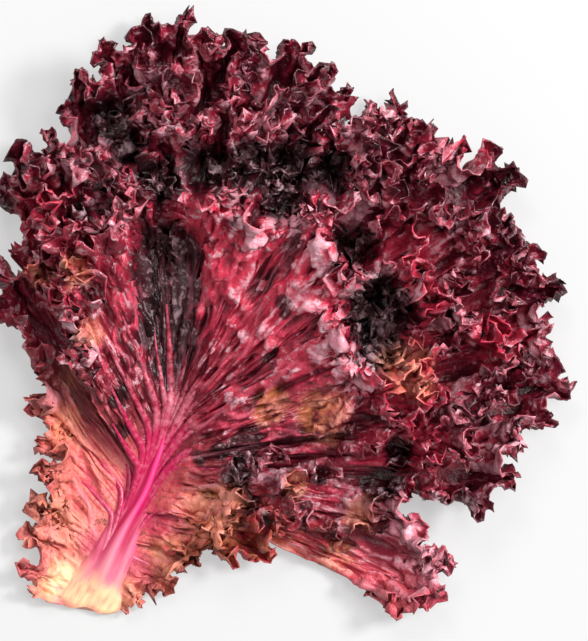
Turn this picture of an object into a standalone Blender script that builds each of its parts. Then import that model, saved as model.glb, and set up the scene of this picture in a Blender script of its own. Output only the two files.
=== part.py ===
"""One leaf of a frilled red leaf lettuce, lying on a flat surface. Blender 4.5, +Z up.

The leaf is one body: a thick midrib with a fan of thin ruffled sheets rooted in it. A sheet is
spanned by spokes from the midrib to its margin. Broad lobes are waved into the sheet, frills are
waved into the lobes, and teeth are cut into the edge, each by a formula.
The cut end of the midrib is near the origin, the midrib runs along +Y, and Z = 0 is the surface
that the leaf lies on. Lengths below are in millimetres and become metres in the meshes.
"""

import math

import bmesh
import bpy
import numpy as np

MM = 0.001
SHEET_THICKNESS = 0.7
VEIN_THICKNESS = 1.9  # where a side vein leaves the midrib
ROOT_DEPTH = 0.65  # how far a sheet's root sits inside the midrib, as a share of its half width
FLOOR_GAP = 0.8  # lowest the middle of a sheet comes to the surface under it
FLOOR_SOFTNESS = 0.5

# The midrib: distance along it, half width, thickness.
MIDRIB = [
    (-5, 7.6, 5.4),
    (-3.5, 8.6, 6.4),
    (4, 8.2, 6.8),
    (14, 6.6, 6.4),
    (28, 5.4, 5.8),
    (44, 4.7, 5.2),
    (58, 4.3, 4.8),
    (64, 3.6, 4.2),
    (67.5, 1.8, 2.6),
]
MIDRIB_BEND = 690.0  # the midrib's line is x = -y * y / MIDRIB_BEND
MIDRIB_SIDES = 14
FLAT_UNDERSIDE = 1.1  # how far the midrib's underside is cut flat

# Each spoke of a sheet: where it leaves the midrib, its direction in degrees clockwise from the
# midrib's line, and its reach seen from above.
BLADE = [
    (-3, -105, 16), (1, -94, 22), (6, -82, 25), (12, -75, 25), (18, -76, 35), (25, -70, 35),
    (31, -68, 42), (37, -68, 59), (43, -64, 77), (48, -57, 91), (52, -50, 101), (55, -42, 109),
    (58, -35, 116), (60, -27, 118), (61, -19, 117), (61, -10, 115), (60, -1, 113),
    (59, 8, 115), (57, 17, 125), (55, 27, 126), (54, 37, 124), (52, 47, 123), (50, 56, 114),
    (48, 64, 101), (46, 68, 83), (42, 70, 67), (37, 73, 52), (32, 75, 39), (26, 78, 29),
    (19, 82, 22), (11, 85, 15), (3, 89, 11),
]
UPPER = [
    (44, -62, 70), (50, -51, 86), (53, -42, 95), (56, -34, 101), (58, -26, 104), (60, -16, 102),
    (61, -7, 99), (60, 3, 98), (58, 15, 103), (56, 26, 107), (54, 34, 106), (52, 43, 102),
    (50, 52, 95), (46, 60, 80),
]
MIDDLE = [
    (46, -63, 56), (51, -54, 70), (54, -43, 79), (57, -33, 85), (59, -22, 87), (61, -11, 86),
    (60, 2, 85), (58, 13, 88), (56, 25, 88), (54, 36, 86), (51, 46, 81), (47, 56, 70),
]
FRONT_RIGHT = [
    (61, -18, 65), (61, -6, 72), (60, 7, 74), (58, 18, 73), (56, 28, 70), (53, 38, 66), (48, 50, 56),
]
FRONT_LEFT = [
    (60, -30, 60), (58, -39, 66), (55, -47, 64), (51, -54, 61), (46, -59, 54), (40, -61, 42),
]
LOWER_RIGHT = [(46, 63, 56), (41, 67, 46), (35, 68, 37), (28, 69, 29), (21, 69, 20)]
INNER_RIGHT = [(50, 60, 38), (45, 62, 34), (38, 64, 28), (31, 66, 22)]
TAIL = [(49, 69, 78), (47, 74, 89), (45, 79, 93), (43, 83, 91), (41, 86, 82)]

# The waves of a sheet: length and height of a wave, and how wide a band along the margin it has.
LOBES = {"length": 36, "height": 6.0, "band": 60, "share": 0.75, "lean": 0.06, "most": 0.15}
FRILLS = {"length": 12.5, "height": 4.4, "band": 21, "share": 0.62, "lean": 0.10, "most": 0.16}

# The sheets: name, spokes, seed, slope in degrees where the sheet starts, slope at its margin, how
# wide the stretch is that turns up, and how much the margin wanders in and out.
SHEETS = [
    ("blade", BLADE, 11, -1, 60, 34, 0.02),
    ("tail", TAIL, 17, 2, 40, 26, 0.02),
    ("upper", UPPER, 23, 11, 75, 30, 0.07),
    ("middle", MIDDLE, 29, 18, 78, 26, 0.09),
    ("front_right", FRONT_RIGHT, 37, 29, 34, 24, 0.08),
    ("front_left", FRONT_LEFT, 41, 28, 60, 24, 0.06),
    ("lower_right", LOWER_RIGHT, 53, 17, 55, 18, 0.03),
    ("inner_right", INNER_RIGHT, 59, 26, 60, 13, 0.03),
]
TOOTH_HEIGHT = 2.6
TEETH_PER_FRILL = 2.5
UNEVEN_SWINGS = 0.4  # swings of an uneven margin from one spoke to the next
UNEVEN_TURN = 0.25  # how much the slope at the margin varies along it
COLUMNS_PER_FRILL = 5
# Rows of a sheet from its root to its margin: 0 is the root, 1 the start of the frilled band and
# 2 the margin; the second number is how many of the margin's columns one of the row's spans.
ROWS = [(0.0, 8), (0.65, 8), (1.0, 4), (1.35, 2), (1.7, 1), (2.0, 1)]

ALONG_MARGIN = np.linspace(-0.04, 1.04, 2161)
QUADRATURE, QUADRATURE_WEIGHTS = np.polynomial.legendre.leggauss(6)


def clear_scene():
    for item in list(bpy.data.objects):
        bpy.data.objects.remove(item, do_unlink=True)


def ease(x):
    x = np.clip(x, 0.0, 1.0)
    return x * x * (3.0 - 2.0 * x)


def wander(x, seed):
    """Smooth noise between about -1 and 1 that swings about once per unit of x."""
    draw = np.random.default_rng(seed)
    swings = ((0.50, 0.61), (0.33, 1.00), (0.27, 1.47))
    return sum(share * np.sin(2 * math.pi * (rate * x + draw.uniform())) for share, rate in swings)


def through(rows, x):
    """A smooth curve through the rows at x = 0 to 1, which goes straight on past its ends."""
    rows = np.asarray(rows, float)
    points = np.concatenate([[2 * rows[0] - rows[1]], rows, [2 * rows[-1] - rows[-2]]])
    place = x * (len(rows) - 1)
    first = np.clip(np.floor(place).astype(int), 0, len(rows) - 2)
    share = np.clip(place - first, 0, 1)[..., None]
    past = (place - first)[..., None] - share
    before, start, end, after = (points[first + k] for k in range(4))
    linear = end - before
    square = 2 * before - 5 * start + 4 * end - after
    cube = 3 * start - before - 3 * end + after
    value = start + 0.5 * share * (linear + share * (square + share * cube))
    slope = 0.5 * (linear + share * (2 * square + share * 3 * cube))
    return value + slope * past


def midrib_at(y):
    """Centre line x, half width, thickness and height of the middle of the midrib."""
    table = np.asarray(MIDRIB, float)
    half_width = np.interp(y, table[:, 0], table[:, 1])
    thickness = np.interp(y, table[:, 0], table[:, 2])
    return -y * y / MIDRIB_BEND, half_width, thickness, 0.5 * thickness - FLAT_UNDERSIDE


class Sheet:
    """A ruffled sheet. Its points are found from s, 0 at the root and 1 at the margin, and w,
    which runs along the margin from 0 to 1."""

    def __init__(self, name, spokes, seed, rise, turn, turn_band, uneven):
        self.name = name
        self.spokes = spokes
        self.seed = seed
        self.rise = math.radians(rise)
        self.turn = math.radians(turn)
        self.turn_band = turn_band
        self.uneven = uneven
        margin = np.ones_like(ALONG_MARGIN)
        self.plain_share, self.plain_length = self.share_along(self.plain(margin, ALONG_MARGIN))
        self.lobe_count = max(1, round(self.plain_length / LOBES["length"]))
        self.lobed_share, self.lobed_length = self.share_along(self.lobed(margin, ALONG_MARGIN))
        self.frill_count = max(2, round(self.lobed_length / FRILLS["length"]))

    def share_along(self, points):
        """How much of the margin's length lies before each point, and the whole length."""
        steps = np.linalg.norm(np.diff(points, axis=0), axis=1)
        length = np.concatenate([[0], np.cumsum(steps)])
        start, end = np.interp([0, 1], ALONG_MARGIN, length)
        return (length - start) / (end - start), end - start

    def slopes(self, s, w, reach):
        """The sheet's slope, which turns up in a band along the margin."""
        start = 1 - np.minimum(self.turn_band, 0.6 * reach) / reach
        turn = self.turn * (1 + UNEVEN_TURN * wander(self.swings(w), self.seed + 7))
        return self.rise + (turn - self.rise) * ease(0.9 * (s - start) / (1 - start))

    def swings(self, w):
        return UNEVEN_SWINGS * len(self.spokes) * w

    def run(self, s, w, reach):
        """Lengths covered across and upwards between the root and s, per unit of length."""
        across = 0
        up = 0
        for place, weight in zip(QUADRATURE, QUADRATURE_WEIGHTS):
            slope = self.slopes(s * 0.5 * (1 + place), w, reach)
            across = across + 0.5 * weight * s * np.cos(slope)
            up = up + 0.5 * weight * s * np.sin(slope)
        return across, up

    def root(self, w):
        """Root, direction and reach of the spoke at w, and the height of its root."""
        along, direction, reach = np.moveaxis(through(self.spokes, w), -1, 0)
        x, half_width, thickness, middle = midrib_at(along)
        reach = reach * (1 + self.uneven * wander(self.swings(w), self.seed + 6))
        direction = np.radians(direction)
        out = np.stack([np.sin(direction), np.cos(direction)], -1)
        inside = (1 - ROOT_DEPTH) * half_width
        start = np.stack([x, along], -1) + out * inside[..., None]
        higher = 0.35 * math.sin(self.rise)
        return start, out, reach - inside, middle + higher * thickness

    def plain(self, s, w):
        """The sheet before any wave."""
        start, out, reach, height = self.root(w)
        across, up = self.run(s, w, reach)
        longer = reach / self.run(np.ones_like(s), w, reach)[0]
        plan = start + out * (across * longer)[..., None]
        return np.concatenate([plan, (height + up * longer)[..., None]], -1)

    def spoke_length(self, w):
        reach = self.root(w)[2]
        return reach / self.run(np.ones_like(w), w, reach)[0]

    def facing(self, shape, s, w):
        """Point, normal and speed along the margin of a shape."""
        step_s = 1e-4
        step_w = 2e-5
        point = shape(s, w)
        outward = shape(s + step_s, w) - point
        along = shape(s, w + step_w) - point
        normal = np.cross(along, outward)
        normal = normal / np.maximum(np.linalg.norm(normal, axis=-1, keepdims=True), 1e-15)
        return point, normal, np.linalg.norm(along, axis=-1) / step_w

    def closing(self, shape, s, w, step):
        """How fast the shape closes up on its normal's side along the margin, per millimetre."""
        first, normal_first, _ = self.facing(shape, s, w - step)
        second, normal_second, _ = self.facing(shape, s, w + step)
        gap = second - first
        turned = np.sum((normal_second - normal_first) * gap, -1)
        return -turned / np.sum(gap * gap, -1)

    def wave(self, shape, s, w, share, length, count, spec, seed):
        """The shape with waves along its margin, which lean over and keep clear of each other."""
        place = count * np.interp(w, ALONG_MARGIN, share)
        long = self.spoke_length(w)
        band = np.minimum(spec["band"], spec["share"] * long)
        grow = np.clip(1 - (1 - s) * long / band, 0.0, 1.3) ** 1.25
        ends = ease(np.minimum(w, 1 - w) / 0.05 + 0.15)
        phase = 2 * math.pi * (place + 0.12 * wander(0.33 * place, seed))
        height = spec["height"] * (0.85 + 0.4 * wander(0.4 * place, seed + 1))
        height = np.minimum(height, spec["most"] * long) * grow * ends
        speed = self.facing(shape, s, w)[2]
        lean = spec["lean"] * length / count * np.minimum(grow, 1) * ends * np.sin(2 * phase)
        moved = w - lean / speed
        point, normal, speed = self.facing(shape, s, moved)
        rise = height * np.sin(phase)
        tight = np.maximum(self.closing(shape, s, moved, 1.5 / speed) * rise, 0)
        rise = rise / np.sqrt(1 + (tight / 0.5) ** 2)
        return point + normal * rise[..., None]

    def lobed(self, s, w):
        return self.wave(
            self.plain, s, w, self.plain_share, self.plain_length, self.lobe_count, LOBES,
            self.seed,
        )

    def frilled(self, s, w):
        """The sheet with its lobes and frills, flattened where it would go under the surface."""
        point = self.wave(
            self.lobed, s, w, self.lobed_share, self.lobed_length, self.frill_count, FRILLS,
            self.seed + 2,
        )
        above = (point[..., 2] - FLOOR_GAP) / FLOOR_SOFTNESS
        point[..., 2] = FLOOR_GAP + FLOOR_SOFTNESS * np.logaddexp(0, above)
        return point

    def tooth(self, w):
        """How far the toothed edge stands out at w."""
        place = self.frill_count * np.interp(w, ALONG_MARGIN, self.lobed_share)
        x = TEETH_PER_FRILL * place + 0.3 * wander(0.8 * place, self.seed + 4)
        saw = 1 - np.abs(2 * (x - np.floor(x)) - 1)
        return TOOTH_HEIGHT * (saw - 0.4) * (0.6 + 0.5 * wander(0.9 * place, self.seed + 5))


def sheet_rows(sheet):
    """Points, thicknesses and place numbers of the sheet's rows, from the root to the margin."""
    columns = 8 * math.ceil(sheet.frill_count * COLUMNS_PER_FRILL / 8)
    for row, step in ROWS:
        count = columns // step
        w = np.interp(np.linspace(0, 1, count + 1), sheet.lobed_share, ALONG_MARGIN)
        long = sheet.spoke_length(w)
        band = np.minimum(FRILLS["band"], FRILLS["share"] * long) / long
        s = row * (1 - band) if row <= 1 else 1 - (2 - row) * band
        if row == 2:
            s = s + sheet.tooth(w) / long
        veined = np.arange(count + 1) * step % 16 == 0
        vein = (VEIN_THICKNESS - SHEET_THICKNESS) * max(0, 1 - row / 1.5)
        yield sheet.frilled(s, w), SHEET_THICKNESS + vein * veined


def strip(near, far):
    """Triangles between two rows of point numbers, the far row as fine or twice as fine."""
    faces = []
    for i in range(len(near) - 1):
        a, b = near[i], near[i + 1]
        if len(far) == len(near):
            c, d = far[i], far[i + 1]
            faces += [(a, b, c), (b, d, c)] if i % 2 else [(a, b, d), (a, d, c)]
        else:
            c, d, e = far[2 * i : 2 * i + 3]
            faces += [(a, d, c), (a, b, d), (b, e, d)]
    return faces


def sheet_object(spec, collection):
    sheet = Sheet(*spec)
    points = []
    thickness = []
    faces = []
    before = None
    for row, thick in sheet_rows(sheet):
        numbers = list(range(len(points), len(points) + len(row)))
        points += (row * MM).tolist()
        thickness += thick.tolist()
        if before:
            faces += strip(before, numbers)
        before = numbers
    mesh = bpy.data.meshes.new(sheet.name)
    mesh.from_pydata(points, [], faces)
    item = bpy.data.objects.new(sheet.name, mesh)
    collection.objects.link(item)
    group = item.vertex_groups.new(name="thickness")
    for number, thick in enumerate(thickness):
        group.add([number], thick / VEIN_THICKNESS, "REPLACE")
    solid = item.modifiers.new("thickness", "SOLIDIFY")
    solid.thickness = VEIN_THICKNESS * MM
    solid.offset = 0
    solid.vertex_group = group.name
    return item


def midrib_object(collection):
    """The midrib: rings along its bent line, the underside cut flat."""
    shape = bmesh.new()
    rings = []
    stations = np.asarray(MIDRIB, float)[:, 0]
    for y in np.interp(np.linspace(0, 1, 17), np.linspace(0, 1, len(stations)), stations):
        x, half_width, thickness, middle = midrib_at(y)
        ring = []
        for k in range(MIDRIB_SIDES):
            angle = 2 * math.pi * k / MIDRIB_SIDES
            side = x + half_width * math.cos(angle)
            height = max(middle + 0.5 * thickness * math.sin(angle), 0.0)
            ring.append(shape.verts.new((side * MM, y * MM, height * MM)))
        rings.append(ring)
    for ring, following in zip(rings, rings[1:]):
        for k in range(MIDRIB_SIDES):
            after = (k + 1) % MIDRIB_SIDES
            shape.faces.new((ring[k], following[k], following[after], ring[after]))
    shape.faces.new(rings[0])
    shape.faces.new(reversed(rings[-1]))
    bmesh.ops.recalc_face_normals(shape, faces=shape.faces)
    mesh = bpy.data.meshes.new("leaf")
    shape.to_mesh(mesh)
    shape.free()
    item = bpy.data.objects.new("leaf", mesh)
    collection.objects.link(item)
    return item


def leaf_material():
    material = bpy.data.materials.new("red_leaf")
    material.use_nodes = True
    shader = material.node_tree.nodes["Principled BSDF"]
    shader.inputs["Base Color"].default_value = (0.19, 0.018, 0.045, 1.0)
    shader.inputs["Roughness"].default_value = 0.38
    shader.inputs["Metallic"].default_value = 0.0
    return material


def apply_modifiers(item):
    evaluated = item.evaluated_get(bpy.context.evaluated_depsgraph_get())
    mesh = bpy.data.meshes.new_from_object(evaluated)
    item.modifiers.clear()
    item.data = mesh


def keep_outer_shell(item):
    """Removes the small shells of hollows sealed between sheets that meet above their roots."""
    shape = bmesh.new()
    shape.from_mesh(item.data)
    left = set(shape.faces)
    shells = []
    while left:
        shell = [left.pop()]
        for face in shell:
            for edge in face.edges:
                beside = left.intersection(edge.link_faces)
                left -= beside
                shell += beside
        shells.append(shell)
    shells.sort(key=len)
    for shell in shells[:-1]:
        bmesh.ops.delete(shape, geom=shell, context="FACES")
    shape.to_mesh(item.data)
    shape.free()


def build():
    clear_scene()
    leaf = midrib_object(bpy.context.scene.collection)
    sheets = bpy.data.collections.new("sheets")
    bpy.context.scene.collection.children.link(sheets)
    for spec in SHEETS:
        sheet_object(spec, sheets)
    union = leaf.modifiers.new("sheets", "BOOLEAN")
    union.operation = "UNION"
    union.operand_type = "COLLECTION"
    union.collection = sheets
    union.solver = "MANIFOLD"
    apply_modifiers(leaf)
    keep_outer_shell(leaf)
    for item in list(sheets.objects):
        bpy.data.objects.remove(item, do_unlink=True)
    bpy.data.collections.remove(sheets)
    leaf.data.materials.clear()
    leaf.data.materials.append(leaf_material())
    leaf.data.shade_smooth()
    leaf.data.set_sharp_from_angle(angle=math.radians(50))


build()
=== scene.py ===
"""The look of a frilled red lettuce leaf: its ruffled sheets, midrib, side veins and colours.

Lengths are in millimetres and become metres in the meshes, except in the finishes, whose shaders
read metres, and in the studio.
"""

import math

import bpy
import numpy as np
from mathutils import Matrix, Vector


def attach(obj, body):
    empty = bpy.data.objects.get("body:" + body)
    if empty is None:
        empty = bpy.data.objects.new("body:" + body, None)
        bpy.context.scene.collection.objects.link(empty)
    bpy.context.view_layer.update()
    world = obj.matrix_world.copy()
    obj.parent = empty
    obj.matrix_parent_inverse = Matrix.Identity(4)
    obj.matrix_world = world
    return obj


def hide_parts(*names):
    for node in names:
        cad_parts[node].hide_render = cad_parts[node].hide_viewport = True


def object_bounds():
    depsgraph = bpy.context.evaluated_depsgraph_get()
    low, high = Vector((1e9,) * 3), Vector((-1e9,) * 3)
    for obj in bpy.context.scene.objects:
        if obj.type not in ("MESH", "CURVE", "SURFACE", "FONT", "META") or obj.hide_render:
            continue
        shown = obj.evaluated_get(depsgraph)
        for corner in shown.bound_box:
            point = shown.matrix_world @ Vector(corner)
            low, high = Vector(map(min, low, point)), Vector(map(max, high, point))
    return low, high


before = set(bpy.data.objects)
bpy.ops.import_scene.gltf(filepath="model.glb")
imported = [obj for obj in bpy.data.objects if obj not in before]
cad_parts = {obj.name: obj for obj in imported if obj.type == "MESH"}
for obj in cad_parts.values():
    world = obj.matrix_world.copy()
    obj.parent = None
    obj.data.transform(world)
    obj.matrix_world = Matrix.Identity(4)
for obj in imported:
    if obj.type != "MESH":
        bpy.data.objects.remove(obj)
cad_low, cad_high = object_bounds()

MM = 0.001
BLADE_THICKNESS = 0.36
EDGE_ROOM = 0.3  # kept free between the middle of a sheet and the solid's box
EDGE_SOFTNESS = 0.6
ROOT_DEPTH = 0.65  # how far a sheet's root sits inside the midrib, as a share of its half width
ROOT_LIFT = 0.35  # how much higher a steep sheet is rooted, as a share of the midrib's thickness
FLOOR_GAP = 0.8  # lowest the middle of a sheet comes to the surface under it
FLOOR_SOFTNESS = 0.5

# The midrib: distance along it, half width, thickness.
MIDRIB = [
    (-5, 7.6, 5.4),
    (-3.5, 8.6, 6.4),
    (4, 8.2, 6.8),
    (14, 6.6, 6.4),
    (28, 5.4, 5.8),
    (44, 4.7, 5.2),
    (58, 4.3, 4.8),
    (64, 3.6, 4.2),
    (67.5, 1.8, 2.6),
]
MIDRIB_BEND = 690.0  # the midrib's line is x = -y * y / MIDRIB_BEND
MIDRIB_SIDES = 72
MIDRIB_CUTS = 70
FLAT_UNDERSIDE = 1.1  # how far the midrib's underside is cut flat
GROOVE_DEPTH = 0.45
GROOVES_ACROSS = 2.4  # half waves of the grooves over the midrib's half width
FOOT_SPREAD = 0.15  # how much wider the cut end is
FOOT_FLATNESS = 0.6  # how much flatter the cut end is
SHARP_EDGE = math.radians(55)

# Each spoke of a sheet: where it leaves the midrib, its direction in degrees clockwise from the
# midrib's line, and its reach seen from above.
BLADE = [
    (-3, -105, 16), (1, -94, 22), (6, -82, 25), (12, -75, 25), (18, -76, 35), (25, -70, 35),
    (31, -68, 42), (37, -68, 59), (43, -64, 77), (48, -57, 91), (52, -50, 101), (55, -42, 109),
    (58, -35, 116), (60, -27, 118), (61, -19, 117), (61, -10, 115), (60, -1, 113),
    (59, 8, 115), (57, 17, 125), (55, 27, 126), (54, 37, 124), (52, 47, 123), (50, 56, 114),
    (48, 64, 101), (46, 68, 83), (42, 70, 67), (37, 73, 52), (32, 75, 39), (26, 78, 29),
    (19, 82, 22), (11, 85, 15), (3, 89, 11),
]
UPPER = [
    (44, -62, 70), (50, -51, 86), (53, -42, 95), (56, -34, 101), (58, -26, 104), (60, -16, 102),
    (61, -7, 99), (60, 3, 98), (58, 15, 103), (56, 26, 107), (54, 34, 106), (52, 43, 102),
    (50, 52, 95), (46, 60, 80),
]
MIDDLE = [
    (46, -63, 56), (51, -54, 70), (54, -43, 79), (57, -33, 85), (59, -22, 87), (61, -11, 86),
    (60, 2, 85), (58, 13, 88), (56, 25, 88), (54, 36, 86), (51, 46, 81), (47, 56, 70),
]
FRONT_RIGHT = [
    (61, -18, 65), (61, -6, 72), (60, 7, 74), (58, 18, 73), (56, 28, 70), (53, 38, 66),
    (48, 50, 56),
]
FRONT_LEFT = [
    (60, -30, 60), (58, -39, 66), (55, -47, 64), (51, -54, 61), (46, -59, 54), (40, -61, 42),
]
LOWER_RIGHT = [(46, 63, 56), (41, 67, 46), (35, 68, 37), (28, 69, 29), (21, 69, 20)]
INNER_RIGHT = [(50, 60, 38), (45, 62, 34), (38, 64, 28), (31, 66, 22)]
TAIL = [(49, 69, 78), (47, 74, 89), (45, 79, 93), (43, 83, 91), (41, 86, 82)]

# The two waves of a margin: length of one swing along it, height, how far in from the margin they
# are felt and the most of a spoke that this may be, how far they lean over, and their most height
# as a share of the spoke.
LOBES = {"length": 36, "height": 6.0, "band": 60, "share": 0.75, "lean": 0.06, "most": 0.15}
FRILLS = {"length": 12.5, "height": 4.4, "band": 21, "share": 0.62, "lean": 0.10, "most": 0.16}

# The sheets: name, spokes, seed, slope in degrees where the sheet starts, slope at its margin, how
# wide the stretch is that turns up, and how much the margin wanders in and out.
SHEETS = [
    ("blade", BLADE, 11, -1, 60, 34, 0.02),
    ("tail", TAIL, 17, 2, 40, 26, 0.02),
    ("upper", UPPER, 23, 11, 75, 30, 0.07),
    ("middle", MIDDLE, 29, 18, 78, 26, 0.09),
    ("front_right", FRONT_RIGHT, 37, 29, 34, 24, 0.08),
    ("front_left", FRONT_LEFT, 41, 28, 60, 24, 0.06),
    ("lower_right", LOWER_RIGHT, 53, 17, 55, 18, 0.03),
    ("inner_right", INNER_RIGHT, 59, 26, 60, 13, 0.03),
]
# Narrower frills that stand between the tiers.
SHEETS += [
    ("lower_ruffle", [(y, turn, 1.09 * reach) for y, turn, reach in UPPER], 61, 5, 66, 30, 0.06),
    ("upper_ruffle", [(y, turn, 1.10 * reach) for y, turn, reach in MIDDLE], 67, 14, 75, 28, 0.06),
    ("inner_ruffle", [(y, turn, 0.88 * reach) for y, turn, reach in MIDDLE], 71, 22, 74, 24, 0.08),
]
UNEVEN_SWINGS = 0.4  # swings of an uneven margin from one spoke to the next
UNEVEN_TURN = 0.25  # how much the slope at the margin varies along it
TURNING_SHARE = 0.6  # the most of a spoke that turns up
TURN_EASE = 0.9
WAVE_SWAY = 0.12  # how much the waves' spacing varies along the margin
WAVE_UNEVEN = 0.4  # how much their height varies
WAVE_GROWTH = 1.25  # how late in their band they rise
WAVE_ENDS = 0.05  # share of the margin over which they die away at its ends
COLUMNS_PER_FRILL = 22
BAND_ROWS = 25  # rows of a sheet over its frilled band
# The rows of each sheet between its root and that band.
INNER_ROWS = {"blade": 15, "tail": 40, "upper": 26, "middle": 34, "front_right": 50,
              "front_left": 50, "lower_right": 24, "inner_right": 20,
              "lower_ruffle": 12, "upper_ruffle": 12, "inner_ruffle": 16}
# How crimson each sheet's tissue is. Past 1 it is rose.
PINKNESS = {"blade": 0.2, "tail": 2.2, "upper": 0.2, "middle": 0.3, "front_right": 0.8,
            "front_left": 0.5, "lower_right": 0.5, "inner_right": 0.5,
            "lower_ruffle": 0.25, "upper_ruffle": 0.3, "inner_ruffle": 0.3}

TEETH_PER_FRILL = 3.1
TOOTH_HEIGHT = 2.6
TOOTH_DEPTH = 4.0  # how far in from the margin the teeth are felt
CRINKLES_PER_FRILL = 2.6
CRINKLE_HEIGHT = 1.15
CRINKLE_BAND = 10.0
# The creases and puckers of the tissue: width, length along the veins, height.
CREASES = [(6.0, 18.0, 2.2), (3.0, 7.0, 1.9), (1.6, 3.0, 0.8)]
CREASE_GROWTH = 27  # how far out from the root they reach their full height
# The branching veins, each order with half the spacing of the last: where it starts as a share of
# the sheet, height, half width.
VEIN_ORDERS = [(-0.2, 1.0, 1.3), (0.12, 0.7, 1.0), (0.32, 0.5, 0.75), (0.52, 0.3, 0.55),
               (0.7, 0.2, 0.4)]
VEIN_SPACING = 4  # frills from one main vein to the next
VEIN_HEIGHT = 1.3
VEIN_SWAY = 0.25

# Places on the leaf, seen from above: across, along, radius.
PLACES = {
    "orange": [(-38, 72, 4), (-52, 87, 5), (-60, 79, 4), (-39, 56, 4), (-33, 42, 7),
               (-23, 20, 5), (-13, -2, 4), (9, 8, 5), (14, 24, 6), (16, 43, 6), (21, 48, 6),
               (24, 41, 6), (34, 85, 8), (18, 80, 5), (48, 110, 8), (53, 108, 5), (37, 63, 4),
               (58, 64, 5), (60, 49, 5)],
    # Hollows, where the tissue sinks and is also darkened with painted shade.
    "hollow": [(-30, 103, 11), (-26, 95, 12), (-21, 85, 11), (-15, 76, 8), (-9, 69, 4),
               (-66, 130, 7), (-58, 126, 6), (-12, 144, 10), (-22, 138, 8), (-2, 149, 7),
               (-10, 134, 7), (32, 121, 11), (37, 112, 8), (-44, 122, 7), (-34, 131, 8),
               (58, 88, 5), (16, 134, 7)],
    # Spots darkened with painted shade only.
    "shade": [(6, 108, 2.4), (8, 105.5, 2), (18, 55, 3.5), (15, 47, 2.2), (28, 51, 2.5),
              (18, 66, 5), (20, 56, 4.5), (8, 55, 3.5), (12, 60, 3), (34, 49, 3), (42, 67, 3.5),
              (59, 76, 6), (-17, 50, 4), (-22, 60, 4), (-60, 101, 5), (29, 126, 6), (31, 112, 5)],
    "cream": [(-2, 3, 6), (-9, 2, 6), (4, 3, 6)],
    "blush": [(-20, 1, 5), (-9, 16, 5), (9, 17, 5), (-5, -5, 3.5), (7, 32, 5)],
    "crimson": [(-53, 76, 22), (-56, 60, 16), (-66, 94, 12), (62, 84, 16), (45, 66, 11),
                (48, 108, 12), (-26, 117, 9), (40, 130, 8), (38, 56, 14), (30, 142, 7),
                (66, 131, 8), (33, 178, 5)],
}
MIDRIB_PLACES = ("cream", "blush")  # those that the midrib's finish reads
HOLLOW_DEPTH = 0.5  # how far the tissue sinks in a hollow, as a share of the height there
BORDER_SWAY = 0.28  # how ragged the border of a place is, as a share of its swings' sizes
BORDER_SWINGS = (2.2, 6.0)
BORDER_START, BORDER_WIDTH = 0.45, 0.85  # in radii of the place

# The side veins that stand out near the midrib: sheet, place along its margin, half width where
# the vein leaves the midrib, and length.
STRANDS = [
    ("front_left", 0.02, 1.5, 40), ("front_left", 0.20, 1.0, 34), ("front_left", 0.40, 1.3, 46),
    ("front_left", 0.62, 1.1, 42), ("front_left", 0.82, 1.2, 34), ("front_left", 0.98, 1.2, 22),
    ("front_right", 0.03, 1.2, 30), ("front_right", 0.18, 1.0, 44), ("front_right", 0.34, 1.3, 58),
    ("front_right", 0.50, 1.0, 46), ("front_right", 0.66, 1.3, 60), ("front_right", 0.82, 1.0, 44),
    ("front_right", 0.97, 1.2, 50), ("middle", 0.38, 1.3, 30),
    ("blade", 0.16, 1.1, 24), ("blade", 0.20, 1.1, 30), ("blade", 0.235, 1.0, 34),
    ("lower_right", 0.20, 1.0, 32), ("lower_right", 0.62, 0.9, 24), ("inner_right", 0.30, 1.0, 26),
    ("blade", 0.90, 0.9, 22), ("blade", 0.94, 0.8, 16),
]
STRAND_RUN = 26.0  # how far a side vein runs beside the midrib before it leaves
STRAND_FOOT = 8  # no side vein starts nearer to the cut end
STRAND_POINTS = 49
STRAND_SMOOTHINGS = 14

ALONG_MARGIN = np.linspace(-0.04, 1.04, 2161)
QUADRATURE, QUADRATURE_WEIGHTS = np.polynomial.legendre.leggauss(6)


def ease(x):
    x = np.clip(x, 0.0, 1.0)
    return x * x * (3.0 - 2.0 * x)


def wander(x, seed):
    """Smooth noise between about -1 and 1 that swings about once per unit of x."""
    draw = np.random.default_rng(seed)
    swings = ((0.50, 0.61), (0.33, 1.00), (0.27, 1.47))
    return sum(share * np.sin(2 * math.pi * (rate * x + draw.uniform())) for share, rate in swings)


def scatter(x, y, seed):
    """Smooth random numbers from -1 to 1 over a plane, one hump or hollow to a unit."""
    size = 64
    draw = np.random.default_rng(seed).uniform(-1, 1, (size, size))
    column, row = np.floor(x).astype(int), np.floor(y).astype(int)
    across, up = ease(x - column), ease(y - row)
    column, row = column % (size - 1), row % (size - 1)
    low = draw[column, row] * (1 - across) + draw[column + 1, row] * across
    high = draw[column, row + 1] * (1 - across) + draw[column + 1, row + 1] * across
    return low * (1 - up) + high * up


def creases(place, along, spacing, width, length, seed):
    """Creases that keep their width while the sheet fans out, longest along the veins."""
    octave = np.log2(np.maximum(spacing, 0.4) / width)
    total = 0
    for level in range(math.floor(octave.min()), math.ceil(octave.max()) + 1):
        share = np.clip(1 - np.abs(octave - level), 0, 1)
        total = total + share * scatter(place * 2.0**level, along / length, seed + 7 * level + 99)
    return total


def through(rows, x):
    """A smooth curve through the rows at x = 0 to 1, which goes straight on past its ends."""
    rows = np.asarray(rows, float)
    points = np.concatenate([[2 * rows[0] - rows[1]], rows, [2 * rows[-1] - rows[-2]]])
    place = x * (len(rows) - 1)
    first = np.clip(np.floor(place).astype(int), 0, len(rows) - 2)
    share = np.clip(place - first, 0, 1)[..., None]
    past = (place - first)[..., None] - share
    before, start, end, after = (points[first + k] for k in range(4))
    straight = end - before
    square = 2 * before - 5 * start + 4 * end - after
    cube = 3 * start - before - 3 * end + after
    value = start + 0.5 * share * (straight + share * (square + share * cube))
    slope = 0.5 * (straight + share * (2 * square + share * 3 * cube))
    return value + slope * past


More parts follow.
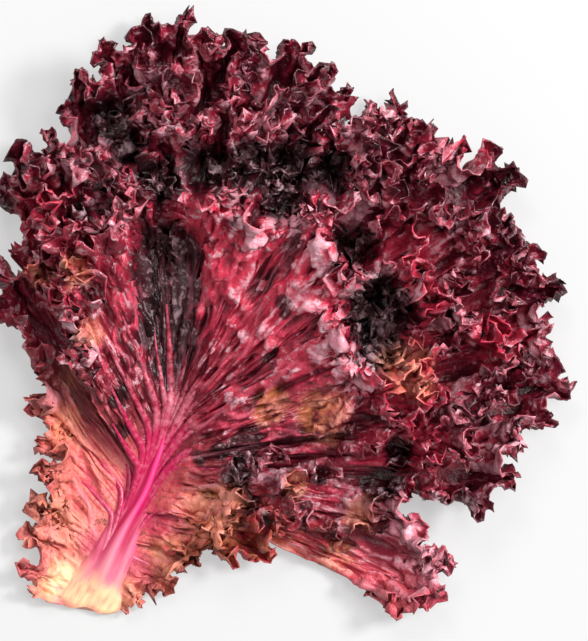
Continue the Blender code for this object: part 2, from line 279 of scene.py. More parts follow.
def midrib_at(y):
    """Centre line x, half width, thickness and height of the middle of the midrib."""
    table = np.asarray(MIDRIB, float)
    half_width = np.interp(y, table[:, 0], table[:, 1])
    thickness = np.interp(y, table[:, 0], table[:, 2])
    return -y * y / MIDRIB_BEND, half_width, thickness, 0.5 * thickness - FLAT_UNDERSIDE


class Sheet:
    """A ruffled sheet. Its points are found from s, 0 at the root and 1 at the margin, and w,
    which runs along the margin from 0 to 1."""

    def __init__(self, name, spokes, seed, rise, turn, turn_band, uneven):
        self.name = name
        self.spokes = spokes
        self.seed = seed
        self.rise = math.radians(rise)
        self.turn_band = turn_band
        self.uneven = uneven
        uneven_turn = 1 + UNEVEN_TURN * wander(self.swings(ALONG_MARGIN), seed + 7)
        self.turns = math.radians(turn) * uneven_turn
        margin = np.ones_like(ALONG_MARGIN)
        reach = self.root(ALONG_MARGIN)[2]
        self.lengths = reach / self.run(margin, ALONG_MARGIN, reach)[0]
        self.plain_share, self.plain_length = self.share_along(self.plain(margin, ALONG_MARGIN))
        self.lobe_count = max(1, round(self.plain_length / LOBES["length"]))
        self.lobed_share, self.lobed_length = self.share_along(self.lobed(margin, ALONG_MARGIN))
        self.frill_count = max(2, round(self.lobed_length / FRILLS["length"]))

    def share_along(self, points):
        """How much of the margin's length lies before each point, and the whole length."""
        steps = np.linalg.norm(np.diff(points, axis=0), axis=1)
        length = np.concatenate([[0], np.cumsum(steps)])
        start, end = np.interp([0, 1], ALONG_MARGIN, length)
        return (length - start) / (end - start), end - start

    def swings(self, w):
        return UNEVEN_SWINGS * len(self.spokes) * w

    def run(self, s, w, reach):
        """Lengths covered across and upwards between the root and s, per unit of length. The
        sheet turns up in a band along the margin."""
        start = 1 - np.minimum(self.turn_band, TURNING_SHARE * reach) / reach
        turn = np.interp(w, ALONG_MARGIN, self.turns) - self.rise
        across = 0
        up = 0
        for place, weight in zip(QUADRATURE, QUADRATURE_WEIGHTS):
            bent = ease(TURN_EASE * (s * 0.5 * (1 + place) - start) / (1 - start))
            slope = self.rise + turn * bent
            across = across + 0.5 * weight * s * np.cos(slope)
            up = up + 0.5 * weight * s * np.sin(slope)
        return across, up

    def root(self, w):
        """Root, direction and reach of the spoke at w, and the height of its root."""
        along, direction, reach = np.moveaxis(through(self.spokes, w), -1, 0)
        x, half_width, thickness, middle = midrib_at(along)
        reach = reach * (1 + self.uneven * wander(self.swings(w), self.seed + 6))
        direction = np.radians(direction)
        out = np.stack([np.sin(direction), np.cos(direction)], -1)
        inside = (1 - ROOT_DEPTH) * half_width
        start = np.stack([x, along], -1) + out * inside[..., None]
        higher = ROOT_LIFT * math.sin(self.rise)
        return start, out, reach - inside, middle + higher * thickness

    def plain(self, s, w):
        """The sheet before any wave."""
        start, out, reach, height = self.root(w)
        across, up = self.run(s, w, reach)
        longer = self.spoke_length(w)
        plan = start + out * (across * longer)[..., None]
        return np.concatenate([plan, (height + up * longer)[..., None]], -1)

    def spoke_length(self, w):
        return np.interp(w, ALONG_MARGIN, self.lengths)

    def facing(self, shape, s, w):
        """Point, normal and speed along the margin of a shape."""
        step_s = 1e-4
        step_w = 2e-5
        point = shape(s, w)
        outward = shape(s + step_s, w) - point
        along = shape(s, w + step_w) - point
        normal = np.cross(along, outward)
        normal = normal / np.maximum(np.linalg.norm(normal, axis=-1, keepdims=True), 1e-15)
        return point, normal, np.linalg.norm(along, axis=-1) / step_w

    def closing(self, shape, s, w, step):
        """How fast the shape closes up on its normal's side along the margin, per millimetre."""
        first, normal_first, _ = self.facing(shape, s, w - step)
        second, normal_second, _ = self.facing(shape, s, w + step)
        gap = second - first
        turned = np.sum((normal_second - normal_first) * gap, -1)
        return -turned / np.sum(gap * gap, -1)

    def wave(self, shape, s, w, share, length, count, spec, seed):
        """The shape with waves along its margin, which lean over and keep clear of each other."""
        place = count * np.interp(w, ALONG_MARGIN, share)
        long = self.spoke_length(w)
        band = np.minimum(spec["band"], spec["share"] * long)
        grow = np.clip(1 - (1 - s) * long / band, 0.0, 1.3) ** WAVE_GROWTH
        ends = ease(np.minimum(w, 1 - w) / WAVE_ENDS + 0.15)
        phase = 2 * math.pi * (place + WAVE_SWAY * wander(0.33 * place, seed))
        height = spec["height"] * (0.85 + WAVE_UNEVEN * wander(0.4 * place, seed + 1))
        height = np.minimum(height, spec["most"] * long) * grow * ends
        speed = self.facing(shape, s, w)[2]
        lean = spec["lean"] * length / count * np.minimum(grow, 1) * ends * np.sin(2 * phase)
        moved = w - lean / speed
        point, normal, speed = self.facing(shape, s, moved)
        rise = height * np.sin(phase)
        tight = np.maximum(self.closing(shape, s, moved, 1.5 / speed) * rise, 0)
        rise = rise / np.sqrt(1 + (tight / 0.5) ** 2)
        return point + normal * rise[..., None]

    def lobed(self, s, w):
        return self.wave(
            self.plain, s, w, self.plain_share, self.plain_length, self.lobe_count, LOBES,
            self.seed,
        )

    def frilled(self, s, w):
        return self.wave(
            self.lobed, s, w, self.lobed_share, self.lobed_length, self.frill_count, FRILLS,
            self.seed + 2,
        )

    def tooth(self, place):
        """How far the toothed edge stands out at a place counted in frills."""
        x = TEETH_PER_FRILL * place + 0.3 * wander(0.8 * place, self.seed + 4)
        tall = scatter(np.floor(x) + 0.0, np.floor(x / 60), self.seed + 5)
        saw = 1 - np.abs(2 * (x - np.floor(x)) - 1)
        return TOOTH_HEIGHT * (saw**1.5 * (0.95 + 0.85 * tall) - 0.35)


def normals_of(points):
    """Normals of a grid of points, its first index running from the root to the margin."""
    along = np.gradient(points, axis=1)
    outward = np.gradient(points, axis=0)
    normal = np.cross(along, outward)
    size = np.linalg.norm(normal, axis=-1, keepdims=True)
    return normal / np.maximum(size, 1e-9), np.linalg.norm(along, axis=-1)


def vein_ridges(place, along, long, spacing, seed):
    """Height of the ridges of the branching veins, and how clearly each point lies on one."""
    ridge = 0
    line = 0
    for order, (starts, tall, wide) in enumerate(VEIN_ORDERS):
        gap = VEIN_SPACING / 2**order
        sway = VEIN_SWAY * gap * wander(along / 24 + 0.3 * place / gap + order, seed + order)
        offset = (place + sway) / gap + (0.5 if order else 0.0)
        away = np.abs(offset - np.round(offset)) * gap * spacing
        width = wide * (1 - 0.55 * along / long)
        body = np.exp(-((away / width) ** 2)) * ease((along / long - starts) / 0.2)
        fade = 1 - 0.75 * ease(along / long)
        ridge = np.maximum(ridge, body * tall * fade)
        line = np.maximum(line, body * (0.4 + 0.6 * tall))
    return ridge, line


def near(points, places):
    """1 at the places and 0 away from them, with an uneven border between."""
    ragged = sum(BORDER_SWAY * size * scatter(points[..., 0] / size, points[..., 1] / size, 5)
                 for size in BORDER_SWINGS)
    total = np.zeros(points.shape[:-1])
    for x, y, radius in places:
        away = (np.hypot(points[..., 0] - x, points[..., 1] - y) + ragged) / radius
        total = np.maximum(total, 1 - ease((away - BORDER_START) / BORDER_WIDTH))
    return total


def grid_piece(name, columns, rows):
    """A flat grid with as many spans across and along, and its corner numbers in rows."""
    bpy.ops.object.select_all(action="DESELECT")
    bpy.ops.mesh.primitive_grid_add(x_subdivisions=columns, y_subdivisions=rows, size=2)
    piece = bpy.context.object
    piece.name = name
    flat = np.empty(3 * len(piece.data.vertices))
    piece.data.vertices.foreach_get("co", flat)
    flat = flat.reshape(-1, 3)
    order = np.lexsort((flat[:, 0], np.round(flat[:, 1], 6)))
    across = len(np.unique(np.round(flat[:, 0], 6)))
    return piece, order.reshape(-1, across)


def keep_inside(points):
    """Holds the sheet above the surface it lies on and softly inside the solid's box."""
    above = (points[..., 2] - FLOOR_GAP) / FLOOR_SOFTNESS
    points[..., 2] = FLOOR_GAP + FLOOR_SOFTNESS * np.logaddexp(0, above)
    low = np.array(cad_low) / MM + EDGE_ROOM
    high = np.array(cad_high) / MM - EDGE_ROOM
    points = high - EDGE_SOFTNESS * np.logaddexp(0, (high - points) / EDGE_SOFTNESS)
    low[2] = FLOOR_GAP - EDGE_SOFTNESS
    return np.maximum(points, low)


def set_measure(piece, name, values, order):
    """Stores a number for each corner of the grid, which the finishes read."""
    store = piece.data.attributes.new(name, "FLOAT", "POINT")
    numbers = np.empty(len(piece.data.vertices), np.float32)
    numbers[order.ravel()] = np.broadcast_to(values, order.shape).ravel()
    store.data.foreach_set("value", numbers)


def face_outwards():
    """Turns the faces of the active piece's mesh outwards."""
    bpy.ops.object.mode_set(mode="EDIT")
    bpy.ops.mesh.select_all(action="SELECT")
    bpy.ops.mesh.normals_make_consistent(inside=False)
    bpy.ops.object.mode_set(mode="OBJECT")


def crumpled(sheet, place, along, spacing, long):
    """Height of the creases and puckers of a sheet."""
    crumple = 0
    for number, (width, length, height) in enumerate(CREASES):
        field = creases(place, along, spacing, width, length, sheet.seed + 20 + number)
        height = height * (1 + 0.3 * min(PINKNESS[sheet.name], 1))
        crumple = crumple + height * (0.6 - 1.6 * np.abs(field))
    return crumple * ease((along - 1) / np.minimum(CREASE_GROWTH, 0.5 * long))


def ruffled_sheet(sheet):
    """A grid bent to the sheet's frills, toothed, veined and creased, and given its thickness."""
    columns = sheet.frill_count * COLUMNS_PER_FRILL
    inner = INNER_ROWS[sheet.name]
    piece, order = grid_piece(sheet.name, columns, inner + BAND_ROWS)
    rows, across = order.shape
    w = np.interp(np.linspace(0, 1, across), sheet.lobed_share, ALONG_MARGIN)[None, :]
    w = np.broadcast_to(w, order.shape)
    steps = np.arange(rows)[:, None]
    long = sheet.spoke_length(w)
    band = np.minimum(FRILLS["band"], FRILLS["share"] * long) / long
    outer = (steps - inner) / BAND_ROWS
    s = np.where(steps <= inner, (steps / inner) ** 0.8 * (1 - band), 1 - (1 - outer) * band)
    place = sheet.frill_count * np.interp(w, ALONG_MARGIN, sheet.lobed_share)
    deep = (1 - s) * long
    felt = np.clip(1 - deep / TOOTH_DEPTH, 0, 1) ** 1.5
    s = s + felt * sheet.tooth(place) / long
    points = sheet.frilled(s, w)
    along = s * long
    normal, spacing = normals_of(points)
    spacing = spacing * COLUMNS_PER_FRILL
    ridge, line = vein_ridges(place, along, long, spacing, sheet.seed)
    edge = np.clip(1 - deep / CRINKLE_BAND, 0, 1.2)
    turn = 2 * math.pi * (CRINKLES_PER_FRILL * place + 0.35 * wander(1.3 * place, sheet.seed + 8))
    ridge = ridge * ease((along - 3) / 8)
    crinkle = CRINKLE_HEIGHT * edge * np.sin(turn) * (0.75 + 0.55 * wander(place, sheet.seed + 9))
    sunk = near(points, PLACES["hollow"])
    crumple = crumpled(sheet, place, along, spacing, long) * (1 - 0.6 * line) * (1 + 0.9 * sunk)
    # How far the tissue stands up, which the leaf's finish reads to paint light on crests and
    # shade below.
    crest = (points[..., 2] - sheet.plain(s, w)[..., 2]) / 8 + 0.3 * crumple
    points = points + normal * (crinkle + crumple + VEIN_HEIGHT * ridge)[..., None]
    points[..., 2] *= 1 - HOLLOW_DEPTH * sunk
    points = keep_inside(points)
    flat = np.empty((len(piece.data.vertices), 3))
    flat[order.ravel()] = points.reshape(-1, 3) * MM
    piece.data.vertices.foreach_set("co", flat.ravel())
    set_measure(piece, "deep", deep, order)
    set_measure(piece, "vein", line, order)
    set_measure(piece, "crest", crest, order)
    set_measure(piece, "pink", PINKNESS[sheet.name], order)
    for name, places in PLACES.items():
        set_measure(piece, name, near(points, places), order)
    piece.data.update()
    face_outwards()
    wall = piece.modifiers.new("thickness", "SOLIDIFY")
    wall.thickness = BLADE_THICKNESS * MM
    wall.offset = 0
    bpy.ops.object.modifier_apply(modifier=wall.name)
    piece.data.shade_smooth()
    return piece


def midrib():
    """The midrib: a cylinder drawn out along its bent line, with a flat underside and grooves."""
    bpy.ops.object.select_all(action="DESELECT")
    bpy.ops.mesh.primitive_cylinder_add(
        vertices=MIDRIB_SIDES, radius=1, depth=1, end_fill_type="NGON"
    )
    piece = bpy.context.object
    piece.name = "midrib"
    bpy.ops.object.mode_set(mode="EDIT")
    bpy.ops.mesh.select_mode(type="EDGE")
    bpy.ops.mesh.select_all(action="DESELECT")
    bpy.ops.object.mode_set(mode="OBJECT")
    for edge in piece.data.edges:
        first, second = (piece.data.vertices[k].co for k in edge.vertices)
        edge.select = abs(first.z - second.z) > 0.5
    bpy.ops.object.mode_set(mode="EDIT")
    bpy.ops.mesh.subdivide(number_cuts=MIDRIB_CUTS)
    bpy.ops.object.mode_set(mode="OBJECT")
    spots = np.empty(3 * len(piece.data.vertices))
    piece.data.vertices.foreach_get("co", spots)
    side, rise, y = spots.reshape(-1, 3).T
    start, end = MIDRIB[0][0], MIDRIB[-1][0]
    y = start + (end - start) * (y + 0.5)
    x, half_width, thickness, middle = midrib_at(y)
    half_width = half_width * (1 + FOOT_SPREAD * ease((12 - y) / 14))
    wobble = 0.7 * np.sin(y / 9) + 0.4 * np.sin(y / 4.3 + 2)
    groove = np.cos(GROOVES_ACROSS * math.pi * side + wobble) * np.maximum(rise, 0)
    groove = groove * ease((y + 4) / 20)
    body = np.sign(rise) * np.abs(rise) ** 1.7
    flat = 1 - FOOT_FLATNESS * ease((13 - y) / 16)
    height = middle + 0.5 * thickness * body * flat + GROOVE_DEPTH * groove
    worn = (2.7 + 2.9 * side + 0.6 * np.sin(6 * side + 1)) * ease((8 - y) / 13)
    points = np.stack([x + half_width * side, y + worn, np.maximum(height, 0)], -1)
    piece.data.vertices.foreach_set("co", (points * MM).ravel())
    order = np.arange(len(points))
    set_measure(piece, "groove", groove, order)
    for name in MIDRIB_PLACES:
        set_measure(piece, name, near(points, PLACES[name]), order)
    face_outwards()
    piece.data.shade_smooth()
    piece.data.set_sharp_from_angle(angle=SHARP_EDGE)
    return piece


def strand_path(sheet, place, half_width, length):
    """Points and radii of a side vein: it runs up beside the midrib, follows a sheet and ends
    under its surface."""
    far = np.linspace(0, 1, 8)
    w = np.full(len(far), place)
    spots, normals, _ = sheet.facing(sheet.frilled, far * length / sheet.spoke_length(w), w)
    spots = spots - (half_width * (0.1 + 1.2 * far**2))[:, None] * normals
    side = math.sin(math.radians(through(sheet.spokes, w[:1])[0, 1]))
    stops = []
    for back in (1.0, 0.6, 0.3):
        y = spots[0, 1] - back * min(STRAND_RUN, max(spots[0, 1] - STRAND_FOOT, 2))
        x, rib_width, thickness, middle = midrib_at(y)
        out = side * (0.75 - 0.4 * back)
        top = middle + 0.5 * thickness * (1 - out * out) ** 0.85
        stops.append((x + rib_width * out, y, top - 0.3 - 1.2 * back))
    share = np.linspace(0, 1, STRAND_POINTS)
    points = through(np.concatenate([stops, spots[1:]]), share)
    for _ in range(STRAND_SMOOTHINGS):
        points[1:-1] = 0.25 * (points[:-2] + 2 * points[1:-1] + points[2:])
    points[:, 2] *= 1 - HOLLOW_DEPTH * near(points, PLACES["hollow"])
    grow = ease(share / 0.33) * (1 - ease((share - 0.3) / 0.75)) ** 0.8
    return points, half_width * (0.2 + 0.8 * grow)


def side_veins(sheets):
    """The strands beside the midrib, each a tapered cord along its path."""
    cords = bpy.data.curves.new("side_veins", "CURVE")
    cords.dimensions = "3D"
    cords.bevel_depth = MM
    cords.bevel_resolution = 2
    cords.use_fill_caps = True
    for name, place, half_width, length in STRANDS:
        points, radii = strand_path(sheets[name], place, half_width, length)
        spline = cords.splines.new("POLY")
        spline.points.add(len(points) - 1)
        for node, point, radius in zip(spline.points, points, radii):
            height = max(point[2], radius + 0.1)
            node.co = (point[0] * MM, point[1] * MM, height * MM, 1)
            node.radius = radius
    piece = bpy.data.objects.new("side_veins", cords)
    bpy.context.scene.collection.objects.link(piece)
    bpy.ops.object.select_all(action="DESELECT")
    piece.select_set(True)
    bpy.context.view_layer.objects.active = piece
    bpy.ops.object.convert(target="MESH")
    piece = bpy.context.object
    piece.data.shade_smooth()
    return piece


def linear(red, green, blue):
    """A colour as seen on screen, 0 to 255, as the shader takes it."""
    def one(value):
        value = value / 255
        return value / 12.92 if value <= 0.04045 else ((value + 0.055) / 1.055) ** 2.4
    return (one(red), one(green), one(blue), 1.0)


CREAM = linear(230, 194, 144)
PEACH = linear(218, 138, 118)
PALE_PINK = linear(216, 122, 142)
# The next two paint highlights: sheen on the crests and rim, and glints.
SHEEN_MAUVE = linear(208, 150, 163)
GLINT = linear(218, 176, 186)
HOT_PINK = linear(226, 44, 112)
MAGENTA = linear(160, 12, 66)
SALMON = linear(214, 118, 104)
ORANGE = linear(210, 126, 80)
OLIVE = linear(150, 86, 44)
BRICK = linear(116, 40, 34)
ROSE = linear(194, 80, 100)
CRIMSON = linear(184, 42, 68)
BURGUNDY = linear(102, 20, 38)
# The next two paint shade: dark in the folds and between the veins, blackish in the hollows.
SHADE_DARK = linear(58, 10, 20)
SHADE_BLACK = linear(18, 5, 8)


ROUGHNESS = {"leaf": 0.2, "midrib": 0.3, "veins": 0.3}
LEAF_SPECULAR = 0.45
# The fine relief of each finish: strength and height in metres.
LEAF_BUMP = (0.7, 0.0009)
MIDRIB_BUMP = (0.5, 0.0006)
VEINS_BUMP = (0.6, 0.0006)


class Wire:
    """A shader socket that adds, subtracts, multiplies and divides like a number."""

    def __init__(self, finish, socket):
        self.finish = finish
        self.socket = socket

    def math(self, operation, first, second=0.0):
        return self.finish.add("ShaderNodeMath", {"operation": operation}, [first, second])

    def __add__(self, other):
        return self.math("ADD", self, other)

    def __sub__(self, other):
        return self.math("SUBTRACT", self, other)

    def __mul__(self, other):
        return self.math("MULTIPLY", self, other)

    def __truediv__(self, other):
        return self.math("DIVIDE", self, other)

    def __rsub__(self, other):
        return self.math("SUBTRACT", other, self)

    __radd__ = __add__
    __rmul__ = __mul__

    def above(self, low, high):
        """0 below low, 1 above high, and smooth between."""
        settings = {"interpolation_type": "SMOOTHSTEP"}
        return self.finish.add("ShaderNodeMapRange", settings, {0: self, 1: low, 2: high})


class Finish:
    """A material under construction."""

    def __init__(self, name):
        self.material = bpy.data.materials.new(name)
        self.material.use_nodes = True
        self.tree = self.material.node_tree
        self.shader = self.tree.nodes["Principled BSDF"]
        self.object_point = self.add("ShaderNodeTexCoord", output="Object")

    def add(self, kind, settings=None, values=(), output=0):
        node = self.tree.nodes.new(kind)
        for name, value in (settings or {}).items():
            setattr(node, name, value)
        pairs = values.items() if isinstance(values, dict) else enumerate(values)
        for key, value in pairs:
            self.feed(node.inputs[key], value)
        return Wire(self, node.outputs[output])

    def feed(self, socket, value):
        if isinstance(value, Wire):
            self.tree.links.new(value.socket, socket)
        else:
            socket.default_value = value

    def mix(self, factor, first, second):
        """The first colour where the factor is 0, the second where it is 1."""
        return self.add(
            "ShaderNodeMix", {"data_type": "RGBA"}, {0: factor, 6: first, 7: second}, output=2
        )

    def noise(self, size, detail=3.0, roughness=0.55):
        """Cloudy noise from 0 to 1, its features about so many metres across."""
        values = {"Vector": self.object_point, "Scale": 1 / size, "Detail": detail}
        values["Roughness"] = roughness
        return self.add("ShaderNodeTexNoise", values=values)

    def measure(self, name):
        """A number that set_measure stored on the piece."""
        return self.add("ShaderNodeAttribute", {"attribute_name": name}, output="Fac")

    def axes(self):
        """The three coordinates of the point, in metres."""
        split = self.add("ShaderNodeSeparateXYZ", values=[self.object_point])
        node = split.socket.node
        return tuple(Wire(self, node.outputs[k]) for k in range(3))

    def complete(self, colour, roughness, bump, height):
        """Feeds the shader its colour, roughness and fine relief."""
        strength, distance = bump
        self.feed(self.shader.inputs["Base Color"], colour)
        self.feed(self.shader.inputs["Roughness"], roughness)
        values = {"Strength": strength, "Distance": distance, "Height": height}
        self.feed(self.shader.inputs["Normal"], self.add("ShaderNodeBump", values=values))
        return self.material


def leaf_finish(name):
    """Leaf tissue: cream and salmon near the cut end, wine red outwards, pale along the veins."""
    finish = Finish(name)
    across, along, _ = finish.axes()
    vein = finish.measure("vein")
    deep = finish.measure("deep")
    crest = finish.measure("crest")
    pink = finish.measure("pink")
    broad = finish.noise(0.030, 2.0)
    small = finish.noise(0.006, 3.0)
    fine = finish.noise(0.0012, 2.0)
    grain = finish.noise(0.0025, 4.0, 0.7)
    inner = deep.above(0.0, 1.2)
    crimson = finish.measure("crimson")
    orange = finish.measure("orange")

    # Wine red tissue: painted shade in the folds, painted light crimson where it stands up into
    # the light.
    strong = pink + crimson * 0.9
    lit = crest * 0.6 + small * 0.4 + grain * 0.6 + strong * 0.25 + broad * 0.4 - 0.33
    lit = lit + inner * 0.2
    colour = finish.mix(lit.above(0.26, 0.68), SHADE_DARK, BURGUNDY)
    colour = finish.mix(lit.above(0.52, 1.05), colour, CRIMSON)
    colour = finish.mix(crimson * (0.3 + small * 0.5), colour, CRIMSON)

    # The warm wings beside the lower midrib, and the magenta tissue along it.
    base = along + small * 0.016 + broad * 0.012
    warm = finish.mix(across.above(0.010, 0.022), SALMON, OLIVE)
    # The mix is blotchy, and its crests lean a little towards the warm colour as painted light.
    warm = finish.mix((grain + crest * 0.25).above(0.34, 0.62) * 0.7 + 0.15, CRIMSON, warm)
    colour = finish.mix(1 - base.above(0.048, 0.080), colour, warm)
    line = across + along * along / (MIDRIB_BEND * MM)
    away = finish.add("ShaderNodeMath", {"operation": "ABSOLUTE"}, [line])
    beside = (1 - away.above(0.004, 0.012)) * (1 - along.above(0.050, 0.070))
    colour = finish.mix(beside * (0.2 + small * 0.5), colour, MAGENTA)

    # Painted shade in the gaps between the veins that fan out from the midrib's end.
    between = along.above(0.040, 0.058) * (1 - along.above(0.080, 0.105))
    between = between * (1 - (vein + small * 0.4).above(0.25, 0.70)) * 0.6
    colour = finish.mix(between, colour, SHADE_DARK)

    # The pale foot of the leaf and the brown blotches on its edge.
    pale = (1 - base.above(0.014, 0.050)) * (1 - across.above(-0.004, 0.006) * 0.4)
    pale = pale * (1 - (1 - deep.above(2.0, 10.0)) * grain.above(0.38, 0.56) * 0.9)
    colour = finish.mix(pale * (1 - small.above(0.46, 0.66) * 0.7), colour, PEACH)
    wing = 1 - base.above(0.040, 0.060)
    edge = 1 - deep.above(0.6, 4.0)
    blotch = (grain + small * 0.4 + edge * 0.16 + across.above(0, 0.01) * 0.05).above(0.70, 0.86)
    blotch = wing * blotch * (1 - (0.030 - base).above(0, 0.016))
    colour = finish.mix(blotch * 0.75, colour, BRICK)

    # Painted sheen, pale mauve on the crests, and the rose lobe at the right.
    sheen = crest + small * 0.8 + grain * 1.8 + broad * 0.35 + pink.above(1, 2) * 0.3
    sheen = sheen + (1 - deep.above(6.0, 24.0)) * 0.20 - pink.above(0.6, 0.8) * 0.1 - crimson * 0.3
    sheen = sheen.above(1.84, 2.36) * (0.3 + inner * 0.7)
    colour = finish.mix(sheen * 0.72 * along.above(0.03, 0.07), colour, SHEEN_MAUVE)
    tip = pink.above(1, 2) * (1 - deep.above(12.0, 45.0)) * (grain * 1.2 - 0.2)
    colour = finish.mix(tip, colour, ROSE)

    # Painted shade, blackish in the hollows and shaded spots, with painted glints of light.
    hollow = (finish.measure("hollow") + (grain - 0.5) * 2 - vein * 0.25).above(0.12, 0.66)
    colour = finish.mix(hollow * 0.9, colour, SHADE_BLACK)
    shade = (finish.measure("shade") + (grain - 0.5) * 1.6).above(0.20, 0.65)
    colour = finish.mix(shade * 0.85, colour, SHADE_BLACK)
    frill = 1 - deep.above(6.0, 24.0)
    glint = (grain + small * 0.4 + crest * 0.08 + inner * 0.03 + frill * 0.06).above(0.84, 0.96)
    glint = glint * along.above(0.045, 0.065) * (1 - hollow * 0.3)
    colour = finish.mix(glint * 0.6, colour, GLINT)

    # Patches of other colours, the veins, and painted highlights: peach on orange crests, pale on
    # the thin rim.
    patch = orange * (small + grain * 0.6).above(0.66, 0.92)
    colour = finish.mix(patch * 0.6, colour, ORANGE)
    colour = finish.mix(orange * (crest + grain).above(0.4, 1.0) * 0.55, colour, PEACH)
    colour = finish.mix(finish.measure("blush") * 0.5, colour, MAGENTA)
    colour = finish.mix(finish.measure("cream") * small.above(0.3, 0.6) * 0.9, colour, CREAM)
    colour = finish.mix(vein.above(0.35, 0.95) * 0.3, colour, PALE_PINK)
    rim = (1 - deep.above(0.0, 0.9)) * small.above(0.54, 0.70) * 0.2
    colour = finish.mix(rim, colour, SHEEN_MAUVE)

    dry = 1 - base.above(0.03, 0.08)
    roughness = ROUGHNESS["leaf"] + fine * 0.18 + dry * 0.22
    finish.shader.inputs["Specular IOR Level"].default_value = LEAF_SPECULAR
    return finish.complete(colour, roughness, LEAF_BUMP, grain + fine * 0.5)


def midrib_finish():
    """The midrib's flesh: hot pink and streaked lengthwise, peach and cream at the cut end."""
    finish = Finish("midrib_flesh")
    _, along, _ = finish.axes()
    groove = finish.measure("groove")
    drawn_out = finish.add(
        "ShaderNodeMapping", values={"Vector": finish.object_point, "Scale": (1.0, 0.15, 1.0)}
    )
    streak = finish.add(
        "ShaderNodeTexNoise", values={"Vector": drawn_out, "Scale": 600.0, "Detail": 3.0}
    )
    # Hot pink on the ridges and magenta in the grooves, painted light and shade, over the flesh's
    # own streaks.
    colour = finish.mix((groove + streak).above(0.3, 1.5), MAGENTA, HOT_PINK)
    foot = along + streak * 0.014 - groove * 0.008
    colour = finish.mix((1 - foot.above(0.014, 0.040)) * 0.75, colour, PALE_PINK)
    colour = finish.mix((1 - foot.above(0.006, 0.022)) * 0.85, colour, PEACH)
    colour = finish.mix(finish.measure("blush") * streak.above(0.35, 0.6) * 0.6, colour, MAGENTA)
    colour = finish.mix(finish.measure("cream") * streak.above(0.25, 0.6) * 0.9, colour, CREAM)
    return finish.complete(colour, ROUGHNESS["midrib"] + streak * 0.15, MIDRIB_BUMP, streak)


def strand_finish():
    """The side veins: magenta where they leave the midrib, rose and crimson further out."""
    finish = Finish("vein_flesh")
    _, along, _ = finish.axes()
    small = finish.noise(0.004, 3.0)
    grain = finish.noise(0.0015, 3.0)
    outer = finish.mix(small.above(0.36, 0.66), CRIMSON, PALE_PINK)
    outer = finish.mix((grain + small * 0.4).above(0.50, 0.74) * 0.5, BURGUNDY, outer)
    outer = finish.mix((along + small * 0.02).above(0.085, 0.110), outer, CRIMSON)
    colour = finish.mix((along + small * 0.018).above(0.058, 0.074), MAGENTA, outer)
    colour = finish.mix(grain.above(0.44, 0.70) * 0.25, colour, PALE_PINK)
    colour = finish.mix(1 - (along + small * 0.02).above(0.016, 0.044), colour, PALE_PINK)
    return finish.complete(colour, ROUGHNESS["veins"] + small * 0.15, VEINS_BUMP, grain)


def dress():
    """Makes each piece of the leaf and gives it its finish."""
    tissue = leaf_finish("leaf_tissue")
    sheets = {row[0]: Sheet(*row) for row in SHEETS}
    for sheet in sheets.values():
        piece = ruffled_sheet(sheet)
        piece.data.materials.append(tissue)
        yield piece
    rib = midrib()
    rib.data.materials.append(midrib_finish())
    yield rib
    veins = side_veins(sheets)
    veins.data.materials.append(strand_finish())
    yield veins


def aim(item, target):
    item.rotation_mode = "QUATERNION"
    item.rotation_quaternion = (Vector(target) - item.location).to_track_quat("-Z", "Y")


def lamp(place, size, power, target):
    light = bpy.data.lights.new("soft_light", "AREA")
    light.size = size
    light.energy = power
    item = bpy.data.objects.new("soft_light", light)
    item.location = place
    bpy.context.scene.collection.objects.link(item)
    aim(item, target)


PHOTO_WIDTH, PHOTO_HEIGHT = 588, 641
PIXEL = 0.3 * MM
BASE_PIXEL = (85, 605)  # where the cut end of the midrib is in the photograph
LEAF_TURN = math.radians(30)  # the midrib's line leans this far to the right there
CAMERA_HEIGHT = 1.2
SCALE_HEIGHT = 0.015  # the height in the leaf at which a pixel of the photograph measures PIXEL
SENSOR = 24
FLOOR_SIZE = 4
FLOOR_GREY = 0.22
FLOOR_GLOW = 0.47
FLOOR_ROUGHNESS = 0.9
SKY = 0.5
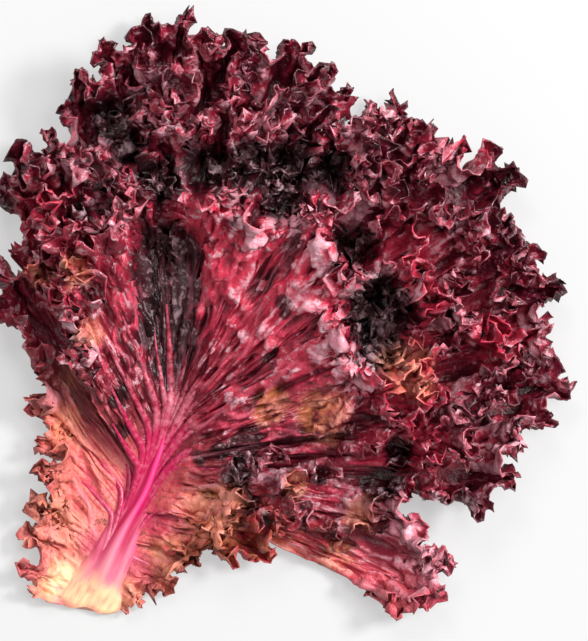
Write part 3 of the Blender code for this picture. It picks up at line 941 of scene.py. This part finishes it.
# The soft lamps: place across and along from the picture's middle, height, size, power.
LAMPS = [(0.92, 1.00, 1.28, 0.42, 49), (-0.5, 0.55, 0.9, 0.4, 5), (0.30, 0.42, 1.35, 0.5, 9)]
LAMP_TARGET = 0.01
WHITE = (1, 1, 1, 1)


def photo_point(x, y):
    """The place on the surface that a pixel of the photograph shows."""
    right = PIXEL * (x - BASE_PIXEL[0])
    up = PIXEL * (BASE_PIXEL[1] - y)
    turn_cos, turn_sin = math.cos(LEAF_TURN), math.sin(LEAF_TURN)
    return turn_cos * right - turn_sin * up, turn_sin * right + turn_cos * up


def studio():
    """The pale floor, the camera that looks down on the leaf, the lamps and the sky."""
    x, y = photo_point(PHOTO_WIDTH / 2, PHOTO_HEIGHT / 2)
    bpy.ops.mesh.primitive_plane_add(size=FLOOR_SIZE, location=(x, y, 0))
    floor = bpy.context.object
    floor.name = "floor"
    surface = Finish("floor_paper")
    surface.shader.inputs["Base Color"].default_value = (FLOOR_GREY, FLOOR_GREY, FLOOR_GREY, 1)
    surface.shader.inputs["Emission Color"].default_value = WHITE
    surface.shader.inputs["Emission Strength"].default_value = FLOOR_GLOW
    surface.shader.inputs["Roughness"].default_value = FLOOR_ROUGHNESS
    floor.data.materials.append(surface.material)
    camera = bpy.data.cameras.new("camera")
    camera.sensor_fit = "VERTICAL"
    camera.sensor_width = camera.sensor_height = SENSOR
    camera.lens = SENSOR * (CAMERA_HEIGHT - SCALE_HEIGHT) / (PHOTO_HEIGHT * PIXEL)
    item = bpy.data.objects.new("camera", camera)
    item.location = (x, y, CAMERA_HEIGHT)
    item.rotation_euler = (0, 0, LEAF_TURN)
    bpy.context.scene.collection.objects.link(item)
    bpy.context.scene.camera = item
    for across, along, height, size, power in LAMPS:
        lamp((x + across, y + along, height), size, power, (x, y, LAMP_TARGET))
    world = bpy.data.worlds.new("studio")
    bpy.context.scene.world = world
    world.use_nodes = True
    background = world.node_tree.nodes["Background"]
    background.inputs["Color"].default_value = WHITE
    background.inputs["Strength"].default_value = SKY
    bpy.context.scene.view_settings.view_transform = "Standard"


for made in dress():
    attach(made, "root")
    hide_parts("leaf")
studio()
